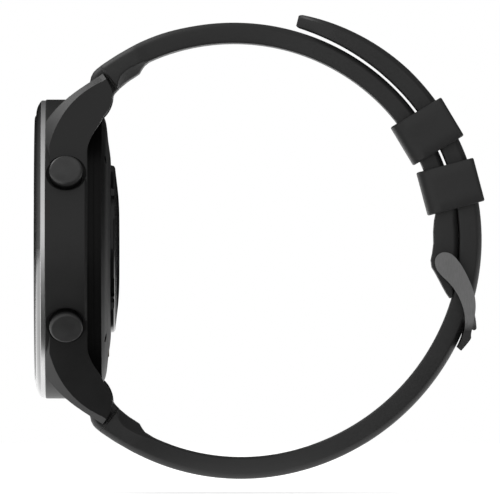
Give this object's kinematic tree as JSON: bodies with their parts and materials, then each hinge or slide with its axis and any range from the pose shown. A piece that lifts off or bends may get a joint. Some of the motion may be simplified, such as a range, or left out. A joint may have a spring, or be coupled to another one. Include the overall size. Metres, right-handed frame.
{
  "type": "gps running watch",
  "caption": "Round sports watch with a steel bezel, two side push buttons, optical back sensor and a buckled soft strap with keepers, closed into a wrist loop.",
  "frame": {"origin": "centre of the sensor window's face, which bears on the wrist", "axes": "+Y out of the back towards the wrist, +Z to 12 o'clock, +X to 3 o'clock, the button side"},
  "size_m": [0.046, 0.0691, 0.0714],
  "materials": {
    "case_polymer": "fine matt moulding",
    "bezel_steel": "circular brushed, polished bevel",
    "cover_glass": "polished, black printed border",
    "seal_rubber": "matt",
    "display_panel": "black OLED panel",
    "chassis_polymer": "glass-filled",
    "circuit_board": "solder mask",
    "shield_metal": "tinned",
    "battery_wrap": "foil pouch",
    "foam_pad": "closed-cell foam",
    "antenna_copper": "plated",
    "contact_gold": "gold plated",
    "flex_film": "polyimide",
    "motor_can": "drawn can",
    "weight_metal": "sintered tungsten",
    "sensor_housing": "black lens ring",
    "sensor_lens": "tinted optical lens",
    "diode_package": "white package",
    "button_metal": "satin black",
    "spring_steel": "bright drawn",
    "strap_tpu": "soft matt",
    "buckle_metal": "gunmetal satin"
  },
  "bodies": {
    "case": {"mid_case": "case_polymer", "rear_cover": "case_polymer", "bezel_ring": "bezel_steel", "cover_glass": "cover_glass", "glass_gasket": "seal_rubber", "display_module": "display_panel", "inner_chassis": "chassis_polymer", "display_flex": "flex_film", "main_board": "circuit_board", "shield_cans": "shield_metal", "gps_antenna": "antenna_copper", "battery": "battery_wrap", "battery_pad": "foam_pad", "vibration_motor": "motor_can", "rear_gasket": "seal_rubber", "rear_screws": "spring_steel", "sensor_ring": "sensor_housing", "sensor_window": "sensor_lens", "sensor_board": "circuit_board", "sensor_diodes": "diode_package", "charge_contacts": "contact_gold", "button_seal_upper": "seal_rubber", "button_spring_upper": "spring_steel", "button_switch_upper": "shield_metal", "button_seal_lower": "seal_rubber", "button_spring_lower": "spring_steel", "button_switch_lower": "shield_metal", "spring_bar_12": "spring_steel", "bar_spring_12": "spring_steel", "spring_bar_6": "spring_steel", "bar_spring_6": "spring_steel"},
    "band": {"strap_12": "strap_tpu", "strap_6": "strap_tpu", "keeper_fixed": "strap_tpu", "buckle_pin": "spring_steel"},
    "keeper": {"keeper_sliding": "strap_tpu"},
    "buckle": {"buckle_frame": "buckle_metal"},
    "tongue": {"buckle_tongue": "buckle_metal"},
    "button_upper": {"button_upper": "button_metal", "button_clip_upper": "spring_steel"},
    "button_lower": {"button_lower": "button_metal", "button_clip_lower": "spring_steel"},
    "release_12": {"release_pin_12": "spring_steel"},
    "release_6": {"release_pin_6": "spring_steel"},
    "motor_rotor": {"motor_weight": "weight_metal"}
  },
  "joints": [
    {"name": "band_swing", "type": "hinge", "parent": "case", "child": "band", "pos_m": [0, -0.00275, 0.0236], "axis": [1, 0, 0], "range_deg": [-4, 4], "stiffness_Nm_per_rad": 0.8, "deforming": ["strap_6"]},
    {"name": "keeper_slide", "type": "hinge", "parent": "band", "child": "keeper", "pos_m": [0, 0.0189, 0.00105], "axis": [1, 0, 0], "range_deg": [-1.5, 8]},
    {"name": "buckle_hinge", "type": "hinge", "parent": "band", "child": "buckle", "pos_m": [0, 0.04995, -0.002], "axis": [1, 0, 0], "range_deg": [0, 6]},
    {"name": "tongue_hinge", "type": "hinge", "parent": "buckle", "child": "tongue", "pos_m": [0, 0.04995, -0.002], "axis": [1, 0, 0], "range_deg": [0, 5]},
    {"name": "upper_button_press", "type": "slide", "parent": "case", "child": "button_upper", "axis": [-0.866, 0, -0.5], "range_m": [0, 0.00045], "stiffness_N_per_m": 600, "springref_m": -0.001, "deforming": ["button_spring_upper"]},
    {"name": "lower_button_press", "type": "slide", "parent": "case", "child": "button_lower", "axis": [-0.866, 0, 0.5], "range_m": [0, 0.00045], "stiffness_N_per_m": 600, "springref_m": -0.001, "deforming": ["button_spring_lower"]},
    {"name": "release_12_slide", "type": "slide", "parent": "case", "child": "release_12", "axis": [-1, 0, 0], "range_m": [0, 0.0014], "stiffness_N_per_m": 500, "springref_m": -0.001, "deforming": ["bar_spring_12"]},
    {"name": "release_6_slide", "type": "slide", "parent": "case", "child": "release_6", "axis": [-1, 0, 0], "range_m": [0, 0.0014], "stiffness_N_per_m": 500, "springref_m": -0.001, "deforming": ["bar_spring_6"]},
    {"name": "motor_spin", "type": "hinge", "parent": "case", "child": "motor_rotor", "pos_m": [-0.0162, -0.0059, 0], "axis": [0, 0, 1], "continuous": true}
  ]
}
